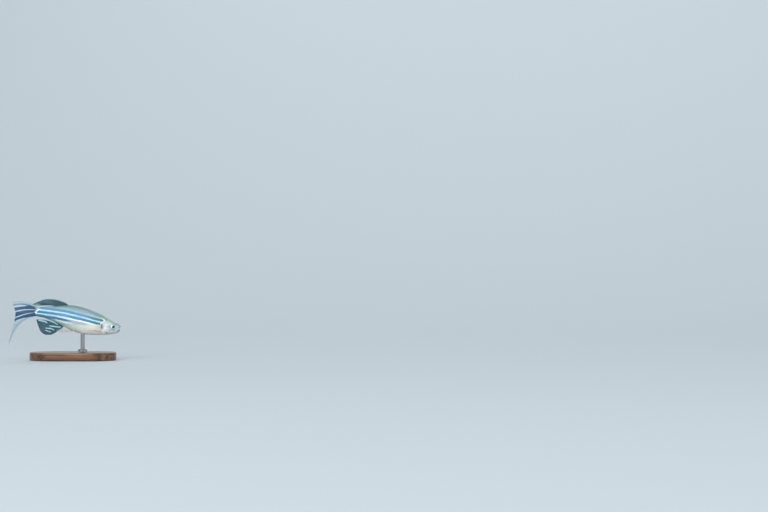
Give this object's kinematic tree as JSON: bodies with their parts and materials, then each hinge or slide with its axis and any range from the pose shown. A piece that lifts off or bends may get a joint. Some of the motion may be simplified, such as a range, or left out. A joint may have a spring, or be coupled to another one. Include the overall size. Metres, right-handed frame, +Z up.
{
  "type": "zebra danio model",
  "caption": "Life-size still model of a striped freshwater danio with long swept fins, nose down, on a rod and a low wooden plinth.",
  "frame": {"origin": "middle of the model's length and width, at the underside of the plinth that it stands on", "axes": "+X the way the fish faces, +Y to the fish's left, +Z up"},
  "size_m": [0.0422, 0.018, 0.0228],
  "materials": {
    "skin": "wet, silvery scaled skin with blue-green stripes",
    "eye": "clear glossy lens over a silver iris and a black pupil",
    "barbel": "smooth, slightly see-through skin",
    "fin": "thin see-through membrane on fine rays",
    "stand_wood": "satin walnut",
    "stand_metal": "fine brushed"
  },
  "bodies": {
    "root": {"head": "skin", "gill_cover_left": "skin", "gill_cover_right": "skin", "trunk": "skin", "tail_stalk": "skin", "eye_left": "eye", "eye_right": "eye", "barbel_upper_left": "barbel", "barbel_upper_right": "barbel", "barbel_corner_left": "barbel", "barbel_corner_right": "barbel", "dorsal_fin": "fin", "anal_fin": "fin", "caudal_fin": "fin", "pelvic_fin_left": "fin", "pelvic_fin_right": "fin", "pectoral_fin_left": "fin", "pectoral_fin_right": "fin", "stand_base": "stand_wood", "stand_rod": "stand_metal", "stand_collar": "stand_metal"}
  },
  "joints": []
}
